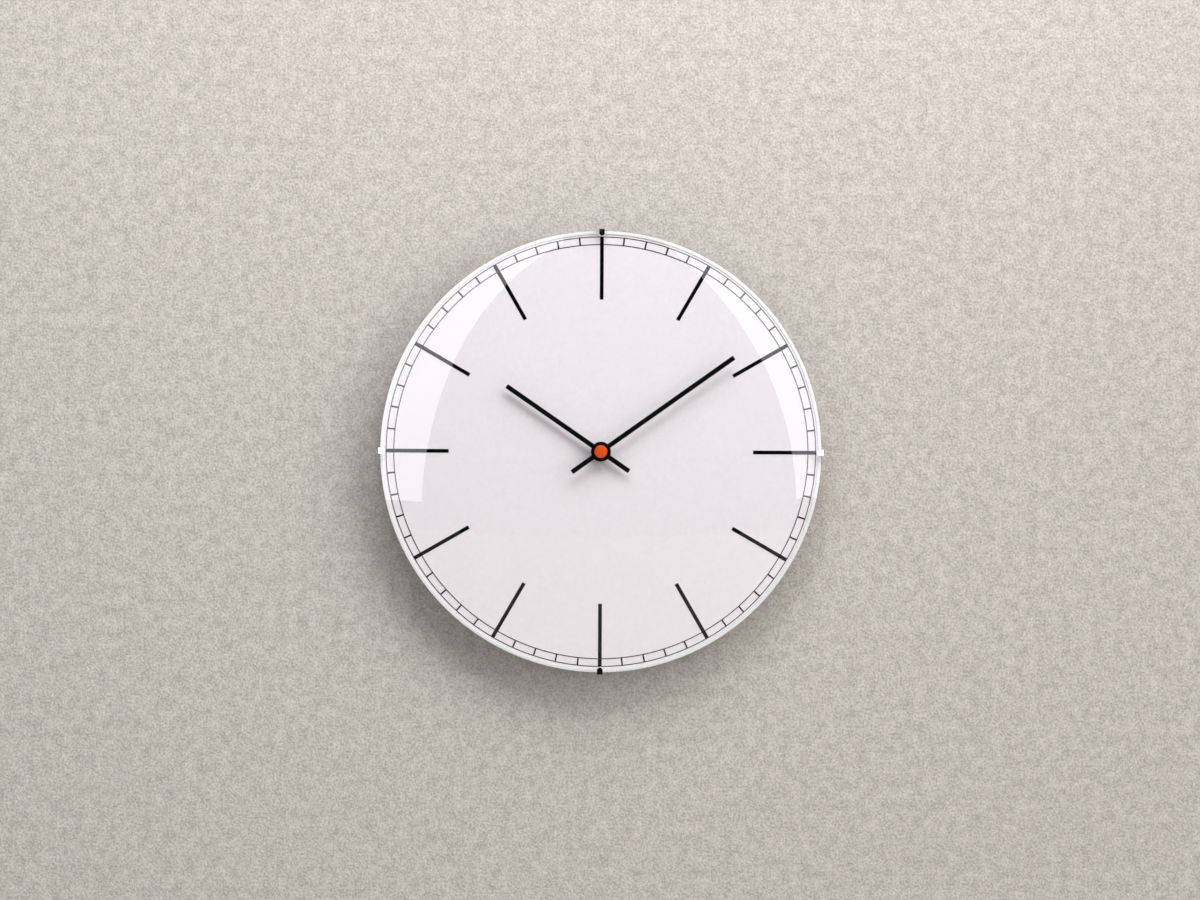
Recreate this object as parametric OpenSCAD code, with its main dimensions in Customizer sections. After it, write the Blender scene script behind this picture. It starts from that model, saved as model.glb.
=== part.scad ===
// Wall clock with a domed glass held by four rim clips, and a quartz movement.
// Clock axes: X to three o'clock, Y to twelve o'clock, Z out of the dial.
// on_wall() stands the clock up, so that the dial faces -Y and twelve o'clock is +Z.

/* [Glass] */
// Diameter of the domed glass
glass_d = 350; // [300:5:450]
// Thickness of the glass
glass_t = 3; // [2.5:0.25:4]
// Rise of the dome from its ground edge to its crown
dome_rise = 22; // [18:1:30]
// Height of the straight ground edge
glass_edge_h = 2.4; // [2.2:0.1:3]

/* [Case] */
// Depth of the pan, from the wall to the seat of the dial
case_depth = 23; // [22.5:0.5:30]
// Thickness of the spun sheet
sheet_t = 1; // [0.8:0.1:1.4]
// How far the brim stands out past the glass
brim_overhang = 0.5; // [0.2:0.1:0.5]
// Width of the flat underside of the brim
brim_w = 10; // [9.8:0.1:14]
// Slope of the bowl wall, from the flat back
wall_slope = 72; // [55:1:80]
// Outer radius where the back turns into the wall
back_round = 14; // [8:1:16]
// Outer radius where the wall turns into the brim
brim_round = 2.5; // [1.5:0.1:4]
// Diameter of the opening that gives access to the movement
access_d = 130; // [110:5:150]
// Height of the keyhole's round end above the hand axis
keyhole_height = 98; // [90:1:110]
// Diameter of the keyhole's round end
keyhole_d = 9; // [8:0.5:12]
// Width of the keyhole's slot
keyhole_slot_w = 4.4; // [3.5:0.1:5]
// Length of the slot, from the centre of the round end
keyhole_slot_l = 11; // [9:0.5:14]

/* [Dial] */
// Thickness of the dial plate
dial_t = 1.2; // [0.8:0.1:2]
// Width of the seal under the glass
gasket_w = 2.6; // [2:0.1:3]
// Thickness of the seal under the glass
gasket_t = 0.5; // [0.4:0.1:1]
// Gap from the edge of the glass to the minute track
track_gap = 4.5; // [4:0.1:12]
// Width of the minute track
track_w = 6.7; // [4:0.1:10]
// Width of the two printed circles
circle_w = 0.65; // [0.4:0.05:1.2]
// Width of a minute tick
tick_w = 1.2; // [0.6:0.1:2]
// Length of an hour index
index_l = 49.9; // [30:0.5:60]
// Width of an hour index
index_w = 2.95; // [2:0.05:5]
// Thickness of the print
print_t = 0.12; // [0.1:0.01:0.2]

/* [Hands] */
// Hour that the hands show
shown_hour = 10; // [1:1:12]
// Angle of the minute hand, clockwise from twelve o'clock
minute_angle = 54.48; // [0:0.01:360]
// Width of both hands
hand_w = 3.75; // [3:0.05:6]
// Thickness of both hands
hand_t = 0.8; // [0.6:0.1:0.9]
// Minute hand from the axis to its tip
minute_l = 128.7; // [100:0.1:130]
// Hour hand from the axis to its tip
hour_l = 90.8; // [70:0.1:110]
// Tail of the minute hand
minute_tail = 28.1; // [15:0.1:35]
// Tail of the hour hand
hour_tail = 27.2; // [15:0.1:35]
// Diameter of the hour hand's round hub
hour_hub_d = 15.8; // [12:0.1:20]
// Diameter of the minute hand's round hub
minute_hub_d = 13; // [11:0.1:15]
// Diameter of the cap nut
cap_d = 10.2; // [8:0.1:12]
// Height of the cap nut
cap_h = 3.4; // [3:0.1:4.5]

/* [Clips] */
// Width of a clip where it shows
clip_w = 4.6; // [3.5:0.1:7]
// Thickness of the clip strip
clip_t = 1.2; // [0.8:0.1:1.5]
// How far a clip reaches in over the glass edge
clip_reach = 4; // [3:0.1:6]
// Width of the foot under the brim
clip_foot_w = 9; // [7:0.5:12]
// Thickness of the soft pad between clip and glass
pad_t = 0.5; // [0.4:0.05:0.6]
// Diameter of the clip screw
clip_screw_d = 2.5; // [2:0.1:3]

/* [Movement] */
// Width and height of the movement
move_w = 56; // [56:0.5:60]
// Depth of the movement
move_h = 16; // [16:0.1:17]
// Wall of the movement's two shells
shell_t = 1.2; // [1:0.1:1.4]
// Corner radius of the movement
move_round = 3; // [2:0.5:5]
// Thickness of the rubber washer behind the dial
rubber_t = 0.8; // [0.5:0.1:1]
// Outer diameter of the threaded bush
bush_d = 8; // [8:0.1:9]
// Distance across the flats of the bush nut
nut_af = 11; // [11:0.5:13]
// Thickness of the bush nut
nut_t = 2.2; // [1.8:0.1:2.4]
// Diameter of the hour pipe
pipe_d = 5; // [4.6:0.1:5.2]
// Diameter of the minute arbor
arbor_d = 2; // [1.8:0.1:2.4]
// Diameter of the cell
cell_d = 14.2; // [13.8:0.1:14.2]
// Room for a contact between each end of the cell and the movement's wall
contact_room = 1.55; // [1.3:0.05:2]
// Diameter of the setting knob
knob_d = 11; // [9:0.5:12]
// Height of the setting knob behind the movement
knob_h = 3.2; // [2:0.1:4]

/* [Hidden] */
$fn = 72;

// Clearances: between a shaft and its bearing, along a shaft between its bearings, between a
// screw and its hole, between parts that are a fit, and the least gap past a part that turns.
running = 0.04;
end_play = 0.05;
screw_gap = 0.1;
seat_gap = 0.02;
free_gap = 0.3;
// How far a cutting shape runs past what it cuts.
over = 1;

// Levels from the wall outwards.
dial_z = case_depth;
dial_top = dial_z + dial_t;
glass_z = dial_top + gasket_t;
move_front = dial_z - rubber_t;
move_back = move_front - move_h;
inner_front = move_front - shell_t;
inner_back = move_back + shell_t;
split_z = move_back + move_h / 2;

// The dome: two spheres about one centre.
glass_r = glass_d / 2;
dome_r = (glass_r * glass_r + dome_rise * dome_rise) / (2 * dome_rise);
crown_z = glass_z + glass_edge_h + dome_rise;
dome_centre_z = crown_z - dome_r;
function dome_z(r) = dome_centre_z + sqrt(dome_r * dome_r - r * r);

// The dial and the print on it.
dial_d = glass_d - 2 * free_gap;
track_r = glass_r - track_gap;

// The pan: its back, two rounds, a sloping wall and a brim.
brim_r = glass_r + brim_overhang;
brim_bend_r = brim_r - brim_w;
wall_rise = case_depth - sheet_t - (brim_round + back_round) * (1 - cos(wall_slope));
back_bend_r = brim_bend_r - (brim_round + back_round) * sin(wall_slope) - wall_rise / tan(wall_slope);

// The hands, stacked on the hour pipe and the minute arbor.
hour_angle = 30 * shown_hour + minute_angle / 12;
washer_t = 0.5;
washer_d = nut_af + 3;
rubber_d = washer_d + 8;
nut_z = dial_top + washer_t;
bush_top = nut_z + nut_t + 0.7;
collet_z = bush_top + free_gap;
collet_h = 0.8;
collet_d = pipe_d + 2.4;
hour_hand_z = collet_z + collet_h;
pipe_top = hour_hand_z + hand_t + 0.5;
minute_hand_z = pipe_top + 1.3;
cap_z = minute_hand_z + hand_t;
stud_d = arbor_d - 0.3;
stud_flat = stud_d - 0.4;
stud_top = cap_z + cap_h - 1;
cap_crown = 0.5;
cap_edge = 0.5;

// Clips: the strip lies along the slope of the glass near its edge.
leg_r = glass_r + brim_overhang + 0.2;
clip_r = leg_r + clip_t;
clip_tip_r = glass_r - clip_reach;
clip_mid_r = (clip_tip_r + glass_r) / 2;
glass_slope = clip_mid_r / (dome_z(clip_mid_r) - dome_centre_z);
clip_foot_z = dial_z - sheet_t - clip_t;
clip_foot_r = brim_bend_r + 0.5;
pad_inset = 0.4;
screw_socket_d = clip_screw_d * 0.8;
clip_screw_r = glass_r - brim_w / 2 + 0.5;
clip_screw_head_d = clip_screw_d * 1.8;
clip_screw_head_h = clip_screw_d * 0.6;
CLIP_ANGLES = [90, 0, 270, 180];

// The cell lies in its bay at the bottom of the movement.
bay_wall = 0.8;
cell_l = move_w - 2 * (shell_t + contact_room);
cell_y = -(move_w / 2 - shell_t - free_gap - cell_d / 2);
cell_z = inner_front - free_gap - cell_d / 2;
bay_top = cell_y + cell_d / 2 + free_gap;
bay_ceiling = bay_top + bay_wall;
cell_nub_d = 5.5;
cell_nub_l = 1;
contact_t = 0.4;

// The coil and the board are set out in units, 56 to the movement's width. The gear train and
// the rotor have units of their own, 11.2 from the hands' axis down to the cell's bay.
unit = move_w / 56;
train_unit = -bay_ceiling / 11.2;

// Gear train. An addendum or dedendum is a share of the tooth module.
pressure = 20;
backlash = 0.05;
wheel_add = 0.45;
wheel_ded = 1.35;
pinion_add = 1.1;
pinion_ded = 0.72;
rotor_module = 0.2 * train_unit;
rotor_teeth = 10;
intermediate_teeth = 60;
seconds_module = 0.3 * train_unit;
intermediate_pinion_teeth = 8;
seconds_teeth = 40;
third_module = 0.36 * train_unit;
seconds_pinion_teeth = 8;
third_teeth = 60;
centre_module = 0.34 * train_unit;
third_pinion_teeth = 8;
centre_teeth = 64;
minute_module = 0.375 * train_unit;
cannon_teeth = 12;
minute_teeth = 36;
setting_teeth = 12;
hour_module = 0.36 * train_unit;
minute_pinion_teeth = 10;
hour_teeth = 40;

function gear_distance(m, n1, n2) = m * (n1 + n2) / 2;
function polar(r, a) = [r * cos(a), r * sin(a)];
// The phase that puts a gap of gear 2 against a tooth of gear 1, in direction a from 1 to 2.
function mesh_phase(a, phase1, n1, n2) = a + 180 - (180 - n1 * (a - phase1)) / n2;

third_dir = 65;
intermediate_dir = 180;
rotor_dir = 135;
minute_dir = -20;
setting_dir = -10;
third_at = polar(gear_distance(third_module, seconds_pinion_teeth, third_teeth), third_dir);
intermediate_at = polar(
    gear_distance(seconds_module, intermediate_pinion_teeth, seconds_teeth), intermediate_dir);
rotor_at = intermediate_at
    + polar(gear_distance(rotor_module, rotor_teeth, intermediate_teeth), rotor_dir);
minute_at = polar(gear_distance(minute_module, cannon_teeth, minute_teeth), minute_dir);
setting_at = minute_at
    + polar(gear_distance(minute_module, setting_teeth, minute_teeth), setting_dir);

third_pinion_phase = mesh_phase(third_dir, 0, centre_teeth, third_pinion_teeth);
seconds_pinion_phase = mesh_phase(third_dir + 180, 0, third_teeth, seconds_pinion_teeth);
intermediate_pinion_phase
    = mesh_phase(intermediate_dir, 0, seconds_teeth, intermediate_pinion_teeth);
rotor_phase = mesh_phase(rotor_dir, 0, intermediate_teeth, rotor_teeth);
minute_phase = mesh_phase(minute_dir, 0, cannon_teeth, minute_teeth);
setting_phase = mesh_phase(setting_dir, minute_phase, minute_teeth, setting_teeth);
hour_phase = mesh_phase(minute_dir + 180, 0, minute_pinion_teeth, hour_teeth);

// Levels of the train, from the inside of the rear shell.
pivot_d = 0.6;
pivot_l = 0.6;
staff_d = 0.9;
boss_d = 2.4;
boss_top = inner_back + 0.9;
staff_z = boss_top + end_play;
wheel_t = 0.6;
thick_wheel_t = 0.8;
intermediate_z = inner_back + 1.4;
intermediate_t = 0.5;
intermediate_pinion_h = 1.6;
rotor_pinion_z = inner_back + 1.2;
rotor_pinion_h = 1.2;
seconds_z = inner_back + 2.8;
stator_z = inner_back + 3.6;
stator_t = 1;
third_z = inner_back + 4.2;
rotor_magnet_z = inner_back + 2.9;
bridge_z = inner_back + 5.5;
bridge_t = 0.8;
seconds_pinion_top = bridge_z + 0.1;
seconds_pivot_l = 0.5;
arbor_z = seconds_pinion_top + free_gap;
arbor_bore_h = 0.4;
centre_z = inner_back + 6.8;
centre_hub_d = arbor_d + 2.4;
plate_z = inner_back + 7.8;
plate_t = 0.8;
plate_top = plate_z + plate_t;
cannon_z = plate_top + 0.2;
cannon_top = cannon_z + 1.4;
minute_z = cannon_z + 0.3;
hour_z = cannon_z + 2;
hour_pipe_z = cannon_top + free_gap;
minute_pinion_top = hour_z + 1.1;
minute_staff_top = hour_z + 1.3;
minute_boss_z = minute_staff_top + 0.1;
bush_flange_t = 0.8;
bush_flange_d = bush_d + 2.4;

// Lavet motor: the coil stands beside the rotor, and the stator joins them.
magnet_d = 6.4 * train_unit;
magnet_h = 2.2;
stator_hole_d = 7.4 * train_unit;
stator_ring_d = 10.8 * train_unit;
stator_bar_w = 2.8 * unit;
stator_neck_w = 6.4 * train_unit;
coil_flange_d = 7.2;
coil_flange_t = 0.8;
coil_x = -(move_w / 2 - shell_t - coil_flange_d / 2 - 0.2);
core_w = 3 * unit;
core_t = 1.2;
core_end = 2.3 * unit;
core_low = bay_ceiling + contact_t + core_w / 2 + 0.1;
core_high = 18.3 * unit;
coil_low = core_low + core_end;
coil_high = core_high - core_end;
coil_pin_d = 1.4;
pin_stand = 0.4;
bobbin_t = 0.8;
winding_inset = 0.4;
bridge_posts = [[rotor_at[0], core_low + 1.5 * unit], [rotor_at[0], core_high - 5.1 * unit]];
bridge_post_d = 2.4 * unit;
bridge_w = 3.4 * unit;

// The contacts at both ends of the cell, and the circuit board that they lead to.
contact_x = move_w / 2 - shell_t - contact_t;
contact_w = 10;
contact_h = 8;
contact_button_d = 4;
spring_w = 6;
spring_h = 4;
strip_h = 3;
strip_z = inner_back + 0.6;
board_t = 1;
board_z = inner_back + 0.8;
board_left = 11 * unit;
board_low = bay_ceiling + contact_t;
board_high = move_w / 2 - shell_t - 2.3 * unit;
board_pin_inset = 2.5 * unit;
board_pins = [[board_left + board_pin_inset, board_high - board_pin_inset],
    [contact_x - board_pin_inset, 2 * unit]];
board_pin_d = 1.4;
board_foot_d = 3 * unit;
chip_at = [(board_left + contact_x) / 2, board_high - 10 * unit];
chip_d = 6 * unit;
chip_top_d = 4.4 * unit;
chip_h = 1;
crystal_d = 2;
crystal_l = 6;

// Plate posts on the front shell, and their screws.
plate_left = coil_x + coil_flange_d / 2 + 4 * unit;
plate_right = move_w / 2 - shell_t - 2 * free_gap;
plate_high = board_high + unit;
plate_low = bay_ceiling + free_gap;
post_inset = 4 * unit;
low_post_inset = 2 * unit;
plate_posts = [
    [plate_left + post_inset, plate_low + low_post_inset],
    [plate_right - post_inset, plate_low + low_post_inset],
    [plate_left + post_inset, plate_high - post_inset],
    [plate_right - post_inset, plate_high - post_inset]
];
plate_post_d = 3.6 * unit;
plate_screw_d = 1.6;
plate_screw_l = 3;
plate_screw_head_d = 3;
plate_screw_head_h = 0.8;

// The shaft that sets the hands, and its knob.
setting_shaft_d = 2.6;
setting_pivot_d = 1.2;
setting_pivot_l = 1.1;
setting_top = hour_z - 0.1;
setting_boss_d = setting_shaft_d + 2;
setting_boss_h = 0.6;
knob_z = move_back - knob_h;
knob_gap = 0.2;
knob_web = 0.8;
knob_grooves = 24;
knob_groove_d = 0.8;

module on_wall() {
    rotate([90, 0, 0]) children();
}

module raise(z) {
    translate([0, 0, z]) children();
}

module at(p, z) {
    translate([p[0], p[1], z]) children();
}

module rod(d, z0, z1) {
    raise(z0) cylinder(d = d, h = z1 - z0);
}

module tube(d_out, d_in, z0, z1) {
    raise(z0) linear_extrude(z1 - z0) difference() {
        circle(d = d_out);
        circle(d = d_in);
    }
}

// Points on an arc about [x, y], from angle a0 to a1.
function arc(x, y, r, a0, a1, steps) =
    [for (i = [0:steps]) let (a = a0 + (a1 - a0) * i / steps) [x + r * cos(a), y + r * sin(a)]];

// Involute teeth. The flank is straight below the base circle.
function involute(a) = tan(a) * 180 / PI - a;
function tooth_half(rho, r, s) =
    s / (2 * r) * 180 / PI + involute(pressure) - involute(acos(min(1, r * cos(pressure) / rho)));
function tooth(n, m, add, ded) =
    let (
        r = n * m / 2,
        base = r * cos(pressure),
        root = r - ded * m,
        tip = r + add * m,
        start = max(base, root),
        mid = (start + tip) / 2,
        s = PI * m / 2 - backlash / 2,
        flank = [for (rho = [start, mid, tip]) [rho, tooth_half(rho, r, s)]],
        foot = root < base ? [[root, tooth_half(start, r, s) * 0.8]] : [],
        side = concat(foot, flank)
    )
    concat(
        [for (p = side) [p[0], -p[1]]],
        [for (i = [len(side) - 1:-1:0]) side[i]]
    );
module gear(n, m, add, ded, phase, z, h) {
    outline = tooth(n, m, add, ded);
    raise(z) linear_extrude(h)
        polygon([for (i = [0:n - 1]) for (p = outline) polar(p[0], phase + i * 360 / n + p[1])]);
}
module wheel(n, m, phase, z, h) {
    gear(n, m, wheel_add, wheel_ded, phase, z, h);
}
module pinion(n, m, phase, z, h) {
    gear(n, m, pinion_add, pinion_ded, phase, z, h);
}

// A staff with a thin pivot at each end.
module staff(z0, z1, front_pivot) {
    rod(staff_d, z0, z1);
    rod(pivot_d, z0 - pivot_l, z0);
    rod(pivot_d, z1, z1 + front_pivot);
}

module rounded_square(w, r) {
    difference() {
        square(w, center = true);
        for (a = [0:90:270]) rotate(a) difference() {
            translate([w / 2 - r, w / 2 - r]) square(r + 1);
            translate([w / 2 - r, w / 2 - r]) circle(r);
        }
    }
}

// ---- Case, dial and glass ----

module case_pan() {
    outer = concat(
        arc(back_bend_r, back_round, back_round, -90, wall_slope - 90, 16),
        arc(brim_bend_r, dial_z - sheet_t - brim_round, brim_round, 90 + wall_slope, 90, 8)
    );
    inner = concat(
        arc(brim_bend_r, dial_z - sheet_t - brim_round, brim_round + sheet_t, 90, 90 + wall_slope, 8),
        arc(back_bend_r, back_round, back_round - sheet_t, wall_slope - 90, -90, 16)
    );
    profile = concat(
        [[access_d / 2, 0]],
        outer,
        [[brim_r, dial_z - sheet_t], [brim_r, dial_z]],
        inner,
        [[access_d / 2, sheet_t]]
    );
    color("lightgray") on_wall() difference() {
        rotate_extrude($fn = 180) polygon(profile);
        at([0, keyhole_height], -over) cylinder(d = keyhole_d, h = sheet_t + 2 * over);
        translate([-keyhole_slot_w / 2, keyhole_height, -over])
            cube([keyhole_slot_w, keyhole_slot_l, sheet_t + 2 * over]);
        at([0, keyhole_height + keyhole_slot_l], -over)
            cylinder(d = keyhole_slot_w, h = sheet_t + 2 * over);
        for (a = CLIP_ANGLES) rotate(a)
            at([clip_screw_r, 0], dial_z - sheet_t - over)
                cylinder(d = clip_screw_d + screw_gap, h = sheet_t + 2 * over, $fn = 32);
    }
}

module dial_plate() {
    color("white") on_wall() raise(dial_z) linear_extrude(dial_t) difference() {
        circle(d = dial_d, $fn = 180);
        circle(d = bush_d + 2 * screw_gap);
    }
}

module hour_indices() {
    color("black") on_wall() raise(dial_top) linear_extrude(print_t)
        for (hour = [0:11]) rotate(30 * hour)
            translate([track_r - index_l, -index_w / 2]) square([index_l, index_w]);
}

module minute_track() {
    inner_r = track_r - track_w;
    gap = index_w / 2 + seat_gap;
    color("black") on_wall() raise(dial_top) linear_extrude(print_t) difference() {
        union() {
            for (r = [track_r, inner_r + circle_w]) difference() {
                circle(r, $fn = 180);
                circle(r - circle_w, $fn = 180);
            }
            for (minute = [0:59]) if (minute % 5 != 0) rotate(6 * minute)
                translate([inner_r + circle_w / 2, -tick_w / 2]) square([track_w - circle_w, tick_w]);
        }
        for (hour = [0:11]) rotate(30 * hour)
            translate([inner_r - over, -gap]) square([track_w + 2 * over, 2 * gap]);
    }
}

module glass_gasket() {
    color("white") on_wall()
        tube(glass_d, glass_d - 2 * gasket_w, dial_top, glass_z, $fn = 180);
}

module glass_dome() {
    color("lightcyan", 0.3) on_wall() intersection() {
        raise(dome_centre_z) difference() {
            sphere(r = dome_r, $fn = 360);
            sphere(r = dome_r - glass_t, $fn = 360);
        }
        raise(glass_z) cylinder(r = glass_r, h = crown_z - glass_z + over, $fn = 360);
    }
}

// Side view of a clip, with the radius across and the depth up.
module clip_side() {
    under = dome_z(clip_mid_r) + pad_t;
    function slope_z(r) = under - glass_slope * (r - clip_mid_r);
    chamfer = clip_t / 3;
    polygon([
        [clip_tip_r - over, slope_z(clip_tip_r - over)],
        [leg_r, slope_z(leg_r)],
        [leg_r, clip_foot_z],
        [clip_r, clip_foot_z],
        [clip_r, slope_z(clip_r) + clip_t - chamfer],
        [clip_r - chamfer, slope_z(clip_r - chamfer) + clip_t],
        [clip_tip_r - over, slope_z(clip_tip_r - over) + clip_t]
    ]);
}

module glass_clip(angle) {
    color("silver") on_wall() rotate(angle) {
        intersection() {
            translate([0, clip_w / 2, 0]) rotate([90, 0, 0]) linear_extrude(clip_w) clip_side();
            linear_extrude(crown_z) {
                translate([clip_tip_r + clip_w / 2, 0]) circle(d = clip_w);
                translate([clip_tip_r + clip_w / 2, -clip_w / 2])
                    square([clip_r - clip_tip_r, clip_w]);
            }
        }
        difference() {
            translate([clip_foot_r, -clip_foot_w / 2, clip_foot_z])
                cube([leg_r - clip_foot_r, clip_foot_w, clip_t]);
            at([clip_screw_r, 0], clip_foot_z - over)
                cylinder(d = clip_screw_d + 2 * screw_gap, h = clip_t + 2 * over, $fn = 32);
        }
    }
}

module clip_pads() {
    low = dome_z(clip_mid_r) + seat_gap;
    function under_z(r) = low - glass_slope * (r - clip_mid_r);
    high = pad_t - 2 * seat_gap;
    pad_w = clip_w - 2 * pad_inset;
    tip_r = clip_tip_r + 2 * pad_inset;
    edge_r = glass_r + seat_gap;
    back_r = leg_r - seat_gap;
    color("white") on_wall() for (a = CLIP_ANGLES) rotate(a)
        translate([0, pad_w / 2, 0]) rotate([90, 0, 0]) linear_extrude(pad_w) polygon([
            [tip_r, under_z(tip_r)],
            [edge_r, under_z(edge_r)],
            [edge_r, glass_z],
            [back_r, glass_z],
            [back_r, under_z(back_r) + high],
            [tip_r, under_z(tip_r) + high]
        ]);
}

module clip_screws() {
    color("silver") on_wall() for (a = CLIP_ANGLES) rotate(a) translate([clip_screw_r, 0, 0]) {
        rod(clip_screw_d, clip_foot_z, dial_z - 0.1, $fn = 32);
        difference() {
            rod(clip_screw_head_d, clip_foot_z - clip_screw_head_h, clip_foot_z, $fn = 32);
            raise(clip_foot_z - clip_screw_head_h - over)
                cylinder(d = screw_socket_d, h = over + clip_screw_head_h * 0.6, $fn = 6);
        }
    }
}

// ---- Hands ----

module hand(angle, z, length, tail, hub_d) {
    raise(z) linear_extrude(hand_t) rotate(angle) difference() {
        union() {
            translate([-tail, -hand_w / 2]) square([length + tail, hand_w]);
            circle(d = hub_d);
        }
        children();
    }
}

// Round stud with two flats, which turns the minute hand.
module stud_outline(gap) {
    intersection() {
        circle(d = stud_d + 2 * gap, $fn = 32);
        square([stud_d + 2 * over, stud_flat + 2 * gap], center = true);
    }
}

module hour_hand() {
    color("black") on_wall() hand(90 - hour_angle, hour_hand_z, hour_l, hour_tail, hour_hub_d)
        circle(d = pipe_d + 2 * seat_gap);
}

module hour_collet() {
    color("goldenrod") on_wall()
        tube(collet_d, pipe_d + 2 * seat_gap, collet_z, hour_hand_z);
}

module minute_hand() {
    color("black") on_wall() hand(90 - minute_angle, minute_hand_z, minute_l, minute_tail, minute_hub_d)
        stud_outline(seat_gap);
}

module cap_nut() {
    crown_r = (cap_d * cap_d / 4 + cap_crown * cap_crown) / (2 * cap_crown);
    color("orangered") on_wall() raise(cap_z) difference() {
        intersection() {
            rotate_extrude() polygon(concat(
                [[0, 0], [cap_d / 2, 0]],
                arc(cap_d / 2 - cap_edge, cap_h - cap_crown - cap_edge, cap_edge, 0, 60, 6),
                arc(0, cap_h - crown_r, crown_r, 90 - asin((cap_d / 2 - cap_edge) / crown_r), 90, 8)
            ));
            cylinder(d = cap_d, h = cap_h);
        }
        raise(-over) cylinder(d = stud_d + 2 * seat_gap, h = stud_top - cap_z + over + 0.2, $fn = 32);
    }
}

// ---- Fixing at the dial ----

module threaded_bush() {
    color("goldenrod") on_wall() difference() {
        union() {
            rod(bush_d, inner_front, bush_top);
            rod(bush_flange_d, inner_front - bush_flange_t, inner_front);
        }
        rod(pipe_d + 2 * running, inner_front - bush_flange_t - over, bush_top + over);
    }
}

module bush_nut() {
    color("goldenrod") on_wall() difference() {
        raise(nut_z) cylinder(r = nut_af / 2 / cos(30), h = nut_t, $fn = 6);
        rod(bush_d + 2 * seat_gap, nut_z - over, nut_z + nut_t + over);
    }
}

module dial_washer() {
    color("goldenrod") on_wall() tube(washer_d, bush_d + 2 * screw_gap, dial_top, nut_z);
}

module rubber_washer() {
    color("dimgray") on_wall() tube(rubber_d, bush_d + 2 * screw_gap, move_front, dial_z);
}

// ---- Movement shells and plates ----

module shell_walls(z0, z1) {
    raise(z0) linear_extrude(z1 - z0) {
        difference() {
            rounded_square(move_w, move_round);
            rounded_square(move_w - 2 * shell_t, move_round - shell_t);
        }
        translate([-move_w / 2 + shell_t / 2, bay_top]) square([move_w - shell_t, bay_wall]);
    }
}

// Slots in the bay wall for the tails of the two contacts.
module contact_slots() {
    for (side = [-1, 1]) translate([
        side * (contact_x + contact_t / 2) - contact_t / 2 - screw_gap, bay_top - over, strip_z - screw_gap])
        cube([contact_t + 2 * screw_gap, bay_wall + 2 * over, strip_h + 2 * screw_gap]);
}

module front_shell() {
    color("dimgray") on_wall() difference() {
        union() {
            shell_walls(split_z, move_front);
            raise(inner_front) linear_extrude(shell_t) rounded_square(move_w, move_round);
            for (p = plate_posts) at(p, plate_top) cylinder(d = plate_post_d, h = inner_front - plate_top);
            at(minute_at, minute_boss_z) cylinder(d = boss_d, h = inner_front - minute_boss_z);
            at(setting_at, hour_z) cylinder(d = setting_boss_d - 1, h = inner_front - hour_z);
        }
        rod(bush_d + 2 * seat_gap, inner_front - over, move_front + over);
        for (p = plate_posts) at(p, plate_top - over)
            cylinder(d = plate_screw_d + seat_gap, h = over + plate_screw_l + 0.5, $fn = 24);
        at(minute_at, minute_staff_top)
            cylinder(d = pivot_d + 2 * running, h = pivot_l + screw_gap, $fn = 24);
        at(setting_at, setting_top)
            cylinder(d = setting_pivot_d + 2 * running, h = setting_pivot_l + screw_gap, $fn = 24);
    }
}

module rear_shell() {
    color("dimgray") on_wall() difference() {
        union() {
            shell_walls(move_back, split_z);
            raise(move_back) linear_extrude(shell_t) rounded_square(move_w, move_round);
            for (p = [[0, 0], third_at, intermediate_at, rotor_at])
                at(p, inner_back) cylinder(d = boss_d, h = boss_top - inner_back);
            for (y = [core_low, core_high]) {
                at([coil_x, y], inner_back) cylinder(d = core_w, h = stator_z - inner_back);
                at([coil_x, y], inner_back)
                    cylinder(d = coil_pin_d, h = stator_z + stator_t + core_t + pin_stand - inner_back);
            }
            for (p = board_pins) {
                at(p, inner_back) cylinder(d = board_foot_d, h = board_z - inner_back);
                at(p, inner_back) cylinder(d = board_pin_d, h = board_z + board_t + pin_stand - inner_back);
            }
            at(setting_at, inner_back) cylinder(d = setting_boss_d, h = setting_boss_h);
        }
        for (p = [[0, 0], third_at, intermediate_at, rotor_at])
            at(p, boss_top - pivot_l - screw_gap)
                cylinder(d = pivot_d + 2 * running, h = pivot_l + over, $fn = 24);
        at(setting_at, move_back - over)
            cylinder(d = setting_shaft_d + 2 * running, h = shell_t + setting_boss_h + 2 * over);
        translate([-move_w / 2 + shell_t, cell_y - cell_d / 2 - free_gap, move_back - over])
            cube([move_w - 2 * shell_t, cell_d + 2 * free_gap, shell_t + over]);
        contact_slots();
    }
}

module train_plate() {
    color("whitesmoke") on_wall() raise(plate_z) linear_extrude(plate_t) difference() {
        translate([plate_left, plate_low])
            square([plate_right - plate_left, plate_high - plate_low]);
        circle(d = arbor_d + 2 * running);
        for (p = [third_at, minute_at]) translate(p) circle(d = pivot_d + 2 * running, $fn = 24);
        translate(setting_at) circle(d = setting_shaft_d + 2 * free_gap);
        for (p = plate_posts) translate(p) circle(d = plate_screw_d + screw_gap, $fn = 24);
    }
}

module train_bridge() {
    color("whitesmoke") on_wall() {
        raise(bridge_z) linear_extrude(bridge_t) difference() {
            union() {
                translate([rotor_at[0] - bridge_w / 2, bridge_posts[0][1]])
                    square([bridge_w, bridge_posts[1][1] - bridge_posts[0][1]]);
                for (p = bridge_posts) translate(p) circle(d = bridge_w);
                translate([rotor_at[0], intermediate_at[1] - bridge_w / 2])
                    square([intermediate_at[0] - rotor_at[0], bridge_w]);
                translate(intermediate_at) circle(d = bridge_w);
            }
            for (p = [rotor_at, intermediate_at])
                translate(p) circle(d = pivot_d + 2 * running, $fn = 24);
        }
        for (p = bridge_posts) at(p, inner_back) cylinder(d = bridge_post_d, h = bridge_z - inner_back);
    }
}

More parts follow.
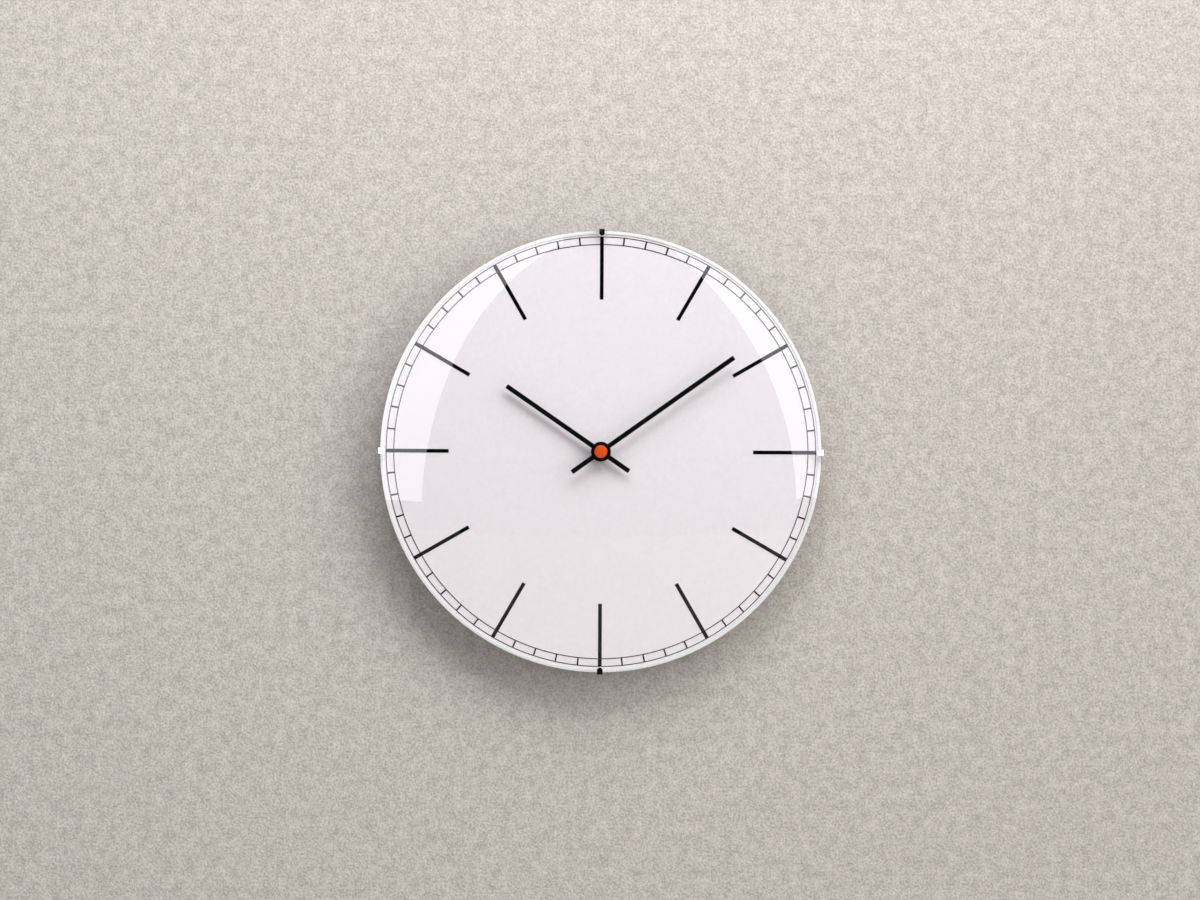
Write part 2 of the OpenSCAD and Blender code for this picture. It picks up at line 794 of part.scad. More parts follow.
module train_screws() {
    color("silver") on_wall() for (p = plate_posts) translate(p) {
        rod(plate_screw_d, plate_z, plate_top + plate_screw_l, $fn = 24);
        rod(plate_screw_head_d, plate_z - plate_screw_head_h, plate_z, $fn = 24);
    }
}

// ---- Motor and electronics ----

module stator() {
    left = coil_x - core_w / 2;
    color("gray") on_wall() raise(stator_z) linear_extrude(stator_t) difference() {
        union() {
            for (y = [core_low, core_high]) translate([left, y - stator_bar_w / 2])
                square([rotor_at[0] + stator_neck_w / 2 - left, stator_bar_w]);
            translate([rotor_at[0] - stator_neck_w / 2, core_low])
                square([stator_neck_w, core_high - core_low]);
            translate(rotor_at) circle(d = stator_ring_d);
        }
        translate(rotor_at) circle(d = stator_hole_d);
        for (p = bridge_posts) translate(p) circle(d = bridge_post_d + 2 * screw_gap);
        for (y = [core_low, core_high]) translate([coil_x, y]) circle(d = coil_pin_d + screw_gap, $fn = 24);
    }
}

module coil_core() {
    color("gray") on_wall() difference() {
        translate([coil_x - core_w / 2, core_low - core_w / 2, stator_z + stator_t])
            cube([core_w, core_high - core_low + core_w, core_t]);
        for (y = [core_low, core_high]) at([coil_x, y], stator_z + stator_t - over)
            cylinder(d = coil_pin_d + screw_gap, h = core_t + 2 * over, $fn = 24);
    }
}

// Places a shape made along +Z on the coil's axis, which runs up the clock.
module along_coil(y) {
    translate([coil_x, y, stator_z + stator_t + core_t / 2]) rotate([-90, 0, 0]) children();
}

module coil_bobbin() {
    length = coil_high - coil_low;
    color("ivory") on_wall() along_coil(coil_low) difference() {
        union() {
            cylinder(d = core_w + 2 * bobbin_t, h = length);
            cylinder(d = coil_flange_d, h = coil_flange_t);
            raise(length - coil_flange_t) cylinder(d = coil_flange_d, h = coil_flange_t);
        }
        translate([-core_w / 2 - seat_gap, -core_t / 2 - seat_gap, -over])
            cube([core_w + 2 * seat_gap, core_t + 2 * seat_gap, length + 2 * over]);
    }
}

module coil_winding() {
    color("chocolate") on_wall() along_coil(coil_low + coil_flange_t + seat_gap)
        tube(coil_flange_d - 2 * winding_inset, core_w + 2 * bobbin_t + 2 * seat_gap,
            0, coil_high - coil_low - 2 * coil_flange_t - 2 * seat_gap);
}

module circuit_board() {
    color("darkgreen") on_wall() raise(board_z) linear_extrude(board_t) difference() {
        translate([board_left, board_low]) square([contact_x - board_left, board_high - board_low]);
        translate(setting_at) circle(d = setting_boss_d + 2 * free_gap);
        for (p = board_pins) translate(p) circle(d = board_pin_d + screw_gap, $fn = 24);
    }
}

module timing_chip() {
    color("black") on_wall() at(chip_at, board_z + board_t)
        cylinder(d1 = chip_d, d2 = chip_top_d, h = chip_h);
}

module quartz_crystal() {
    color("silver") on_wall()
        translate([board_left + 4 * unit, board_high - 22 * unit, board_z + board_t + crystal_d / 2])
            rotate([-90, 0, 0]) cylinder(d = crystal_d, h = crystal_l);
}

module contact_positive() {
    tail_top = board_low + 6 * unit;
    color("silver") on_wall() {
        translate([contact_x, cell_y - contact_w / 2, cell_z - contact_h / 2])
            cube([contact_t, contact_w, contact_h]);
        translate([contact_x, cell_y, strip_z]) cube([contact_t, tail_top - cell_y, strip_h]);
        translate([contact_x, cell_y, cell_z]) rotate([0, -90, 0])
            cylinder(d = contact_button_d, h = contact_x - cell_l / 2 - seat_gap);
    }
}

module contact_negative() {
    reach = contact_x - cell_l / 2 - seat_gap;
    color("silver") on_wall() {
        translate([-contact_x - contact_t, cell_y - contact_w / 2, cell_z - contact_h / 2])
            cube([contact_t, contact_w, contact_h]);
        translate([-contact_x - contact_t, cell_y, strip_z])
            cube([contact_t, board_low - cell_y, strip_h]);
        translate([-contact_x - contact_t, bay_ceiling, strip_z])
            cube([board_left + 2 * unit + contact_x + contact_t, contact_t, strip_h]);
        translate([-contact_x, cell_y - spring_w / 2, cell_z]) rotate([-90, 0, 0])
            linear_extrude(spring_w) polygon([
                [0, -spring_h],
                [reach, 0],
                [0, spring_h],
                [0, spring_h - 2 * contact_t],
                [reach - contact_t, 0],
                [0, 2 * contact_t - spring_h]
            ]);
    }
}

// ---- Turning parts ----

module rotor_magnet() {
    color("darkslategray") on_wall() at(rotor_at, rotor_magnet_z)
        tube(magnet_d, staff_d + 2 * seat_gap, 0, magnet_h);
}

module rotor_pinion() {
    color("whitesmoke") on_wall() translate(rotor_at) {
        staff(staff_z, bridge_z - end_play, bridge_t);
        pinion(rotor_teeth, rotor_module, rotor_phase, rotor_pinion_z, rotor_pinion_h);
    }
}

module intermediate_wheel() {
    color("whitesmoke") on_wall() translate(intermediate_at) {
        staff(staff_z, bridge_z - end_play, bridge_t);
        wheel(intermediate_teeth, rotor_module, 0, intermediate_z, intermediate_t);
        pinion(intermediate_pinion_teeth, seconds_module, intermediate_pinion_phase,
            intermediate_z + intermediate_t, intermediate_pinion_h);
    }
}

module seconds_wheel() {
    color("whitesmoke") on_wall() {
        staff(staff_z, seconds_pinion_top, seconds_pivot_l);
        wheel(seconds_teeth, seconds_module, 0, seconds_z, wheel_t);
        pinion(seconds_pinion_teeth, third_module, seconds_pinion_phase,
            seconds_z + wheel_t, seconds_pinion_top - seconds_z - wheel_t);
    }
}

module third_wheel() {
    color("whitesmoke") on_wall() translate(third_at) {
        staff(staff_z, plate_z - end_play, plate_t);
        wheel(third_teeth, third_module, 0, third_z, wheel_t);
        pinion(third_pinion_teeth, centre_module, third_pinion_phase,
            third_z + wheel_t, plate_z - free_gap - third_z - wheel_t);
    }
}

module centre_wheel() {
    color("whitesmoke") on_wall() difference() {
        union() {
            wheel(centre_teeth, centre_module, 0, centre_z, wheel_t);
            rod(centre_hub_d, centre_z - free_gap, plate_z - 2 * end_play);
        }
        rod(arbor_d + 2 * seat_gap, centre_z - over, plate_z + over);
    }
}

module minute_arbor() {
    color("goldenrod") on_wall() {
        difference() {
            rod(arbor_d, arbor_z, minute_hand_z);
            rod(pivot_d + 2 * running, arbor_z - over, arbor_z + arbor_bore_h, $fn = 24);
        }
        pinion(cannon_teeth, minute_module, 0, cannon_z, cannon_top - cannon_z);
        raise(minute_hand_z) linear_extrude(hand_t) rotate(90 - minute_angle) stud_outline(0);
        rod(stud_d, cap_z, stud_top, $fn = 32);
    }
}

module minute_wheel() {
    pinion_z = minute_z + thick_wheel_t;
    color("whitesmoke") on_wall() translate(minute_at) {
        rod(pivot_d, plate_z, plate_top + end_play, $fn = 24);
        rod(staff_d, plate_top + end_play, minute_staff_top);
        rod(pivot_d, minute_staff_top, minute_staff_top + pivot_l, $fn = 24);
        wheel(minute_teeth, minute_module, minute_phase, minute_z, thick_wheel_t);
        pinion(minute_pinion_teeth, hour_module, 0, pinion_z, minute_pinion_top - pinion_z);
    }
}

module hour_wheel() {
    color("whitesmoke") on_wall() difference() {
        union() {
            wheel(hour_teeth, hour_module, hour_phase, hour_z, thick_wheel_t);
            rod(pipe_d, hour_pipe_z, pipe_top);
        }
        rod(arbor_d + 2 * running, hour_pipe_z - over, pipe_top + over);
    }
}

module setting_shaft() {
    color("whitesmoke") on_wall() translate(setting_at) {
        rod(setting_shaft_d, knob_z + knob_web, setting_top);
        rod(setting_pivot_d, setting_top, setting_top + setting_pivot_l);
        pinion(setting_teeth, minute_module, setting_phase, cannon_z, cannon_top - cannon_z);
    }
}

module setting_knob() {
    color("dimgray") on_wall() translate(setting_at) difference() {
        rod(knob_d, knob_z, move_back - knob_gap);
        rod(setting_shaft_d + 2 * seat_gap, knob_z + knob_web, move_back + over);
        for (i = [0:knob_grooves - 1]) rotate(i * 360 / knob_grooves)
            at([knob_d / 2 + knob_groove_d / 4, 0], knob_z - over)
                cylinder(d = knob_groove_d, h = knob_h + 2 * over, $fn = 16);
    }
}

module cell_can() {
    color("steelblue") on_wall() translate([-cell_l / 2, cell_y, cell_z]) rotate([0, 90, 0])
        cylinder(d = cell_d, h = cell_l - cell_nub_l);
}

module cell_terminal() {
    color("silver") on_wall() translate([cell_l / 2 - cell_nub_l, cell_y, cell_z]) rotate([0, 90, 0])
        cylinder(d = cell_nub_d, h = cell_nub_l);
}

case_pan();
dial_plate();
hour_indices();
minute_track();
glass_gasket();
glass_dome();
glass_clip(CLIP_ANGLES[0]);  // glass_clip_12
glass_clip(CLIP_ANGLES[1]);  // glass_clip_3
glass_clip(CLIP_ANGLES[2]);  // glass_clip_6
glass_clip(CLIP_ANGLES[3]);  // glass_clip_9
clip_pads();
clip_screws();
hour_hand();
hour_collet();
minute_hand();
cap_nut();
threaded_bush();
bush_nut();
dial_washer();
rubber_washer();
front_shell();
rear_shell();
train_plate();
train_bridge();
train_screws();
stator();
coil_core();
coil_bobbin();
coil_winding();
circuit_board();
timing_chip();
quartz_crystal();
contact_positive();
contact_negative();
rotor_magnet();
rotor_pinion();
intermediate_wheel();
seconds_wheel();
third_wheel();
centre_wheel();
minute_arbor();
minute_wheel();
hour_wheel();
setting_shaft();
setting_knob();
cell_can();
cell_terminal();
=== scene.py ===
import math

import bmesh
import bpy
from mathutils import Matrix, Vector
from mathutils.geometry import interpolate_bezier


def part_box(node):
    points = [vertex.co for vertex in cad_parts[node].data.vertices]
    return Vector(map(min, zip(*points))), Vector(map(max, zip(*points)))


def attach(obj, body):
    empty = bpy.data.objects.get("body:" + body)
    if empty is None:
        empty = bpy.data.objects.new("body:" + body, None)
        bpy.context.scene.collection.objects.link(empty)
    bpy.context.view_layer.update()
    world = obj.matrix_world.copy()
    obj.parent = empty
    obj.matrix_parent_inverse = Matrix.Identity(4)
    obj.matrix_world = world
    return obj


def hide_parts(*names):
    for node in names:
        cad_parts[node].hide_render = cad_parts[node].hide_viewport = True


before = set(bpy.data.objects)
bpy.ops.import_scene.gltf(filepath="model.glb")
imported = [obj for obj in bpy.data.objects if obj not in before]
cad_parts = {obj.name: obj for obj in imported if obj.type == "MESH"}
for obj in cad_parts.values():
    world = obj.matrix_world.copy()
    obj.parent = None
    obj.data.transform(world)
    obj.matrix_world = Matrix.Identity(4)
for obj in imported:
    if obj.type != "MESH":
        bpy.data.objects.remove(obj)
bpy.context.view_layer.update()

MM = 0.001
scene = bpy.context.scene
scene.view_settings.view_transform = "Standard"

# The glass, in millimetres. Its radius and levels come from the frame: a radius is from the axis of the
# hands, and a level is the height above the wall. It stands a hair clear of its seal.
SEAT_GAP = 0.02
glass_low, glass_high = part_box("glass_dome")
GLASS_RADIUS = glass_high[0] / MM
CROWN_LEVEL = -glass_low[1] / MM
GLASS_LEVEL = -glass_high[1] / MM + SEAT_GAP
GLASS_THICK = 3.0
DOME_RADIUS = 707.0
# The bevel that the stone leaves along the rim.
GROUND_EDGE = 0.35


# ---- Colours, nodes and finishes ----

def hex_colour(text):
    """An sRGB hex colour as the linear RGBA that the shaders mix."""
    parts = [int(text[i:i + 2], 16) / 255 for i in (1, 3, 5)]
    return [v / 12.92 if v <= 0.04045 else ((v + 0.055) / 1.055) ** 2.4 for v in parts] + [1.0]


def repeats(spacing_mm):
    """How often a pattern of this spacing comes in a metre."""
    return 1000 / spacing_mm


def add(tree, kind, inputs=None, **settings):
    """Adds a node. Settings go on the node, and each input takes a value or another socket."""
    made = tree.nodes.new(kind)
    for name, value in settings.items():
        setattr(made, name, value)
    for name, value in (inputs or {}).items():
        if isinstance(value, bpy.types.NodeSocket):
            tree.links.new(value, made.inputs[name])
        else:
            made.inputs[name].default_value = value
    return made


def start_finish(name):
    """An empty material, with its node tree and its output."""
    made = bpy.data.materials.new(name)
    made.use_nodes = True
    made.node_tree.nodes.clear()
    return made, made.node_tree, add(made.node_tree, "ShaderNodeOutputMaterial")


# Tones drift over this many grains or grooves, so that no surface is one flat colour.
DRIFT = 9


def grained(name, low, high, grain_mm, relief_mm, look, stretch=(1, 1, 1)):
    """A finish whose colour drifts between two close tones, over a fine relief of the same grain."""
    made, tree, out = start_finish(name)
    where = add(tree, "ShaderNodeTexCoord").outputs["Object"]
    drawn = add(tree, "ShaderNodeMapping", {"Vector": where, "Scale": stretch}).outputs[0]
    cloud = add(tree, "ShaderNodeTexNoise",
                {"Vector": drawn, "Scale": repeats(grain_mm * DRIFT), "Detail": 3.0}).outputs[0]
    tone = add(tree, "ShaderNodeMix", {0: cloud, 6: hex_colour(low), 7: hex_colour(high)},
               data_type="RGBA").outputs[2]
    grain = add(tree, "ShaderNodeTexNoise",
                {"Vector": drawn, "Scale": repeats(grain_mm), "Detail": 2.0}).outputs[0]
    bump = add(tree, "ShaderNodeBump",
               {"Height": grain, "Distance": relief_mm * MM, "Strength": 1.0}).outputs[0]
    body = add(tree, "ShaderNodeBsdfPrincipled", {"Base Color": tone, "Normal": bump, **look})
    tree.links.new(body.outputs[0], out.inputs[0])
    return made


# Stoved enamel on steel sheet: sprayed, so it has a faint orange peel and a satin sheen.
stoved_enamel = grained("stoved_white_enamel", "#ECE7EB", "#F9F4F8", 0.35, 0.008,
                        {"Roughness": 0.5, "IOR": 1.5})
# Screen printed ink: dense black with a dry edge, a little rougher than the enamel.
printed_ink = grained("screen_printed_ink", "#020202", "#050505", 0.3, 0.004,
                      {"Roughness": 0.6, "IOR": 1.4, "Specular IOR Level": 0.15})
# Lacquer on stamped steel hands: a smooth satin black with a soft sheen.
hand_lacquer = grained("satin_black_lacquer", "#040405", "#080809", 0.4, 0.003,
                       {"Roughness": 0.34, "IOR": 1.45, "Specular IOR Level": 0.3})
# Acrylonitrile butadiene styrene, moulded in a polished tool: bright orange, semi gloss.
orange_abs = grained("moulded_orange_abs", "#E04C12", "#E8581C", 0.8, 0.01,
                     {"Roughness": 0.3, "IOR": 1.53})
# Soft vinyl seal: extruded, milky white and matt.
vinyl_seal = grained("extruded_white_vinyl", "#F1F2F1", "#F8F9F8", 0.5, 0.02,
                     {"Roughness": 0.6, "IOR": 1.5})
# Cast silicone liner: a soft, milky strip with a damp sheen.
silicone_liner = grained("cast_silicone", "#D9DAD6", "#E3E4E0", 0.6, 0.01,
                         {"Roughness": 0.35, "IOR": 1.41})
# Stainless strip, bent and polished: near mirror, with fine hairlines along the strip.
polished_strip = grained("polished_stainless_strip", "#C6C6C5", "#D0D0CF", 0.4, 0.001,
                         {"Roughness": 0.09, "Metallic": 1.0}, stretch=(1, 1, 0.08))
# Stainless screws: turned and tumbled bright.
tumbled_screw = grained("tumbled_stainless_screw", "#BDBDBB", "#CBCBC9", 0.3, 0.006,
                        {"Roughness": 0.24, "Metallic": 1.0})
# Moulded rubber: dull black with a bloom.
moulded_rubber = grained("moulded_black_rubber", "#131313", "#1C1C1C", 0.5, 0.03,
                         {"Roughness": 0.82, "IOR": 1.52})
# Moulded in a spark eroded tool: a fine even grit that scatters the light.
spark_abs = grained("spark_textured_black_abs", "#131416", "#1B1C1F", 0.35, 0.05,
                    {"Roughness": 0.55, "IOR": 1.53})
# The knob's tool is polished, not eroded: a smoother, paler black that the thumb has rubbed.
rubbed_abs = grained("rubbed_black_abs", "#242528", "#303136", 0.8, 0.02,
                     {"Roughness": 0.36, "IOR": 1.53})
# Acetal, moulded: waxy white with a soft sheen.
acetal = grained("moulded_white_acetal", "#E9E6DC", "#F0EEE6", 0.6, 0.01,
                 {"Roughness": 0.36, "IOR": 1.48})
# Bobbin: moulded in natural, ivory toned plastic.
ivory_abs = grained("moulded_ivory_abs", "#DAD3BF", "#E2DCCA", 0.5, 0.015,
                    {"Roughness": 0.45, "IOR": 1.53})
# Soft iron: stamped and annealed, a dull grey with a dry grain.
soft_iron = grained("annealed_soft_iron", "#85837F", "#98968F", 0.4, 0.02,
                    {"Roughness": 0.48, "Metallic": 1.0})
# Potting resin: a glossy black drop that has run out flat.
potting_resin = grained("black_potting_resin", "#060606", "#0C0C0C", 2.0, 0.03,
                        {"Roughness": 0.16, "IOR": 1.55})
# Spring steel under nickel: bright, with a trace of yellow.
nickel_spring = grained("nickel_plated_spring", "#B9B4A6", "#C9C4B8", 0.3, 0.008,
                        {"Roughness": 0.25, "Metallic": 1.0}, stretch=(1, 1, 0.2))
# Sintered magnet: dark, dense and dry.
sintered_magnet = grained("sintered_magnet", "#2B2B2D", "#38383B", 0.3, 0.03,
                          {"Roughness": 0.6, "Metallic": 0.4})
# The ground edge of the glass: frosted by the stone, so it glows pale where the light comes in, and
# stays grey green in the shade.
ground_glass = grained("ground_glass_edge", "#DFEAE4", "#EDF4F0", 0.3, 0.02,
                       {"Roughness": 0.6, "IOR": 1.5, "Transmission Weight": 0.65})


# Tool rings on turned metal are this deep, and drawn coarser than real so that they show. Handling
# leaves a haze in patches, where the roughness strays to either side. Sizes are in millimetres.
RING_RELIEF = 0.02
HAZE_PATCH = 30
HAZE_ROUGHNESS = 0.06


def turned_metal(name, low, high, groove_mm, look):
    """Metal spun or turned about the axis of the hands: fine rings, and a sheen that runs round with
    them."""
    made, tree, out = start_finish(name)
    where = add(tree, "ShaderNodeTexCoord").outputs["Object"]
    flat = add(tree, "ShaderNodeVectorMath", {0: where, 1: (1, 0, 1)}, operation="MULTIPLY").outputs[0]
    radius = add(tree, "ShaderNodeVectorMath", {0: flat}, operation="LENGTH").outputs["Value"]
    rings = add(tree, "ShaderNodeTexNoise", {"W": radius, "Scale": repeats(groove_mm), "Detail": 3.0},
                noise_dimensions="1D").outputs[0]
    bands = add(tree, "ShaderNodeTexNoise",
                {"W": radius, "Scale": repeats(groove_mm * DRIFT), "Detail": 3.0},
                noise_dimensions="1D").outputs[0]
    haze = add(tree, "ShaderNodeTexNoise",
               {"Vector": where, "Scale": repeats(HAZE_PATCH), "Detail": 4.0}).outputs[0]
    drift = add(tree, "ShaderNodeMath", {0: bands, 1: haze}, operation="MULTIPLY_ADD").outputs[0]
    tone = add(tree, "ShaderNodeMix", {0: drift, 6: hex_colour(low), 7: hex_colour(high)},
               data_type="RGBA").outputs[2]
    rough = add(tree, "ShaderNodeMapRange",
                {"Value": haze, "To Min": look["Roughness"] - HAZE_ROUGHNESS,
                 "To Max": look["Roughness"] + HAZE_ROUGHNESS}).outputs[0]
    bump = add(tree, "ShaderNodeBump",
               {"Height": rings, "Distance": RING_RELIEF * MM, "Strength": 0.8}).outputs[0]
    round_it = add(tree, "ShaderNodeTangent", direction_type="RADIAL", axis="Y").outputs[0]
    body = add(tree, "ShaderNodeBsdfPrincipled",
               {"Base Color": tone, "Normal": bump, "Tangent": round_it, "Metallic": 1.0, **look,
                "Roughness": rough})
    tree.links.new(body.outputs[0], out.inputs[0])
    return made


# The pan: stainless sheet spun over a former and brushed as it turned, rings 1 mm apart.
spun_steel = turned_metal("spun_stainless_sheet", "#A6A5A2", "#CCCBC8", 1.0,
                          {"Roughness": 0.34, "Anisotropic": 0.55})
# Bush, nut, washer, collet and arbor: free cutting brass, as it leaves the lathe.
turned_brass = turned_metal("turned_brass", "#C9A352", "#DDBC71", 0.5,
                            {"Roughness": 0.24, "Anisotropic": 0.3})


def clear_glass():
    """Slumped window glass: clear, mirror smooth, and it lets the lamps' light straight through."""
    made, tree, out = start_finish("slumped_mineral_glass")
    body = add(tree, "ShaderNodeBsdfPrincipled",
               {"Base Color": hex_colour("#FFFFFF"), "Roughness": 0.0, "IOR": 1.5,
                "Transmission Weight": 1.0})
    lets_by = add(tree, "ShaderNodeBsdfTransparent", {"Color": hex_colour("#F7F7F7")})
    path = add(tree, "ShaderNodeLightPath")
    mixed = add(tree, "ShaderNodeMixShader",
                {0: path.outputs["Is Shadow Ray"], 1: body.outputs[0], 2: lets_by.outputs[0]})
    tree.links.new(mixed.outputs[0], out.inputs[0])
    return made


# The turns of the coil are 0.1 mm apart, and are drawn this far apart so that they show.
TURN_SPACING = 0.45
# A wave texture of scale 1 repeats after this length.
WAVE_PERIOD = math.pi / 10


def wound_wire():
    """Enamelled copper wire, wound in layers: a warm metal under a thin glossy enamel, in even ridges,
    with painted shade in the grooves.
    """
    made, tree, out = start_finish("enamelled_copper_winding")
    where = add(tree, "ShaderNodeTexCoord").outputs["Object"]
    turns = add(tree, "ShaderNodeTexWave",
                {"Vector": where, "Scale": repeats(TURN_SPACING) * WAVE_PERIOD, "Distortion": 0.4},
                wave_type="BANDS", bands_direction="Z", wave_profile="SIN").outputs[0]
    # Painted shade: the colour runs from copper on the ridges to dark brown in the grooves between the
    # turns, on the same wave as the bump.
    tone = add(tree, "ShaderNodeMix", {0: turns, 6: hex_colour("#5E2A12"), 7: hex_colour("#B5622F")},
               data_type="RGBA").outputs[2]
    bump = add(tree, "ShaderNodeBump",
               {"Height": turns, "Distance": 0.12 * MM, "Strength": 0.8}).outputs[0]
    body = add(tree, "ShaderNodeBsdfPrincipled",
               {"Base Color": tone, "Normal": bump, "Roughness": 0.28, "Metallic": 0.85,
                "Coat Weight": 0.5, "Coat Roughness": 0.15})
    tree.links.new(body.outputs[0], out.inputs[0])
    return made


# Copper tracks: length between two corners, pitch of the rows and width, in millimetres.
TRACK_LENGTH, TRACK_PITCH, TRACK_WIDTH = 5.0, 1.6, 0.25


def board_mask():
    """Solder mask over a glass laminate: glossy green, with the copper tracks as lighter lines."""
    made, tree, out = start_finish("green_solder_mask")
    where = add(tree, "ShaderNodeTexCoord").outputs["Object"]
    upright = add(tree, "ShaderNodeMapping", {"Vector": where, "Rotation": (math.radians(90), 0, 0)})
    tracks = add(tree, "ShaderNodeTexBrick",
                 {"Vector": upright.outputs[0], "Scale": repeats(1), "Mortar Size": TRACK_WIDTH,
                  "Brick Width": TRACK_LENGTH, "Row Height": TRACK_PITCH,
                  "Color1": hex_colour("#0E4A26"), "Color2": hex_colour("#10542B"),
                  "Mortar": hex_colour("#2C7A45")}, offset=0.37)
    bump = add(tree, "ShaderNodeBump",
               {"Height": tracks.outputs[1], "Distance": 0.04 * MM, "Strength": 0.7}).outputs[0]
    body = add(tree, "ShaderNodeBsdfPrincipled",
               {"Base Color": tracks.outputs[0], "Normal": bump, "Roughness": 0.24, "IOR": 1.5})
    tree.links.new(body.outputs[0], out.inputs[0])
    return made


# The film's copper band reaches this far from the cell's + end, and its edge is this soft, in
# millimetres.
BAND_LENGTH, BAND_EDGE = 12.25, 0.2


def cell_film():
    """Printed film shrunk over a steel can: dark slate, with a plain copper coloured band."""
    made, tree, out = start_finish("shrunk_cell_film")
    where = add(tree, "ShaderNodeTexCoord").outputs["Object"]
    across = add(tree, "ShaderNodeSeparateXYZ", {"Vector": where}).outputs["X"]
    band_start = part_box("cell_can")[1][0] - BAND_LENGTH * MM
    band = add(tree, "ShaderNodeMapRange",
               {"Value": across, "From Min": band_start - BAND_EDGE * MM,
                "From Max": band_start}).outputs[0]
    tone = add(tree, "ShaderNodeMix", {0: band, 6: hex_colour("#22272E"), 7: hex_colour("#A8693B")},
               data_type="RGBA").outputs[2]
    wrinkle = add(tree, "ShaderNodeTexNoise",
                  {"Vector": where, "Scale": repeats(4), "Detail": 2.0}).outputs[0]
    bump = add(tree, "ShaderNodeBump",
               {"Height": wrinkle, "Distance": 0.04 * MM, "Strength": 0.4}).outputs[0]
    body = add(tree, "ShaderNodeBsdfPrincipled",
               {"Base Color": tone, "Normal": bump, "Roughness": 0.22, "Metallic": 0.35, "IOR": 1.55})
    tree.links.new(body.outputs[0], out.inputs[0])
    return made


glass = clear_glass()
copper_winding = wound_wire()
solder_mask = board_mask()
shrunk_film = cell_film()

# ---- Finishes of the CAD nodes that are shown as they are ----

FINISHES = {
    stoved_enamel: ["dial_plate"],
    printed_ink: ["hour_indices", "minute_track"],
    vinyl_seal: ["glass_gasket"],
    silicone_liner: ["clip_pads"],
    orange_abs: ["cap_nut"],
    tumbled_screw: ["clip_screws", "train_screws", "quartz_crystal", "cell_terminal"],
    spun_steel: ["case_pan"],
    turned_brass: ["hour_collet", "threaded_bush", "dial_washer", "minute_arbor"],
    moulded_rubber: ["rubber_washer"],
    acetal: ["train_plate", "train_bridge", "rotor_pinion", "intermediate_wheel", "seconds_wheel",
             "third_wheel", "centre_wheel", "minute_wheel", "hour_wheel", "setting_shaft"],
    soft_iron: ["stator", "coil_core"],
    ivory_abs: ["coil_bobbin"],
    copper_winding: ["coil_winding"],
    solder_mask: ["circuit_board"],
    potting_resin: ["timing_chip"],
    nickel_spring: ["contact_positive", "contact_negative"],
    sintered_magnet: ["rotor_magnet"],
    shrunk_film: ["cell_can"],
}
for finish, names in FINISHES.items():
    for name in names:
        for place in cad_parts[name].material_slots:
            place.material = finish


# ---- Pieces that stand for CAD nodes ----

def new_piece(name, mesh, finish, body, node):
    """A piece of the clock: it has a finish, rides on a body and stands for a CAD node."""
    made = bpy.data.objects.new(name, mesh)
    scene.collection.objects.link(made)
    mesh.materials.clear()
    mesh.materials.append(finish)
    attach(made, body)
    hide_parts(node)
    return made


# Points closer than this, in millimetres, are one, and faces that turn less than this are one face.
WELD = 0.001
FLAT_TURN = math.radians(0.5)
# An edge is hard where its faces turn more than this.
HARD_TURN = math.radians(30)


def eased(node, name, finish, body, edge_mm):
    """A copy of a CAD node with every hard edge rolled over, as stamping or moulding leaves it."""
    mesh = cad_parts[node].data.copy()
    shape = bmesh.new()
    shape.from_mesh(mesh)
    bmesh.ops.remove_doubles(shape, verts=shape.verts, dist=WELD * MM)
    bmesh.ops.dissolve_limit(shape, angle_limit=FLAT_TURN, verts=shape.verts, edges=shape.edges)
    for face in shape.faces:
        face.smooth = True
    shape.to_mesh(mesh)
    shape.free()
    if "custom_normal" in mesh.attributes:
        mesh.attributes.remove(mesh.attributes["custom_normal"])
    made = new_piece(name, mesh, finish, body, node)
    rolled = made.modifiers.new("rolled_edges", "BEVEL")
    rolled.width = edge_mm * MM
    rolled.segments = 2
    rolled.limit_method = "ANGLE"
    rolled.angle_limit = HARD_TURN
    rolled.harden_normals = True


def revolve(name, profile, steps, sharp, finish_of):
    """Turns a closed profile of (radius, height), in millimetres, about the axis of the hands.
    sharp holds the profile points that keep a crease, and finish_of gives each strip's finish number."""
    shape = bmesh.new()
    turns = [2 * math.pi * i / steps for i in range(steps)]
    rings = []
    for radius, height in profile:
        reach, y = radius * MM, -height * MM
        around = [(reach * math.cos(a), y, reach * math.sin(a)) for a in turns] if radius else [(0, y, 0)]
        rings.append([shape.verts.new(point) for point in around])
    for k in range(len(rings) - 1):
        low, high = rings[k], rings[k + 1]
        for i in range(steps):
            j = (i + 1) % steps
            corners = [low[i % len(low)], low[j % len(low)], high[j % len(high)], high[i % len(high)]]
            face = shape.faces.new(list(dict.fromkeys(corners)))
            face.smooth = True
            face.material_index = finish_of(k)
    bmesh.ops.recalc_face_normals(shape, faces=shape.faces)
    for k in sharp:
        ring = rings[k]
        for i in range(steps):
            edge = shape.edges.get((ring[i], ring[(i + 1) % steps]))
            if edge:
                edge.smooth = False
    mesh = bpy.data.meshes.new(name)
    shape.to_mesh(mesh)
    shape.free()
    return mesh


def dome_level(radius, sphere):
    """Height of a sphere about the dome's centre, at this distance from the axis."""
    return CROWN_LEVEL - DOME_RADIUS + math.sqrt(sphere * sphere - radius * radius)


# Rings from the crown of the glass to its rim, and steps round it.
DOME_RINGS, DOME_STEPS = 72, 288


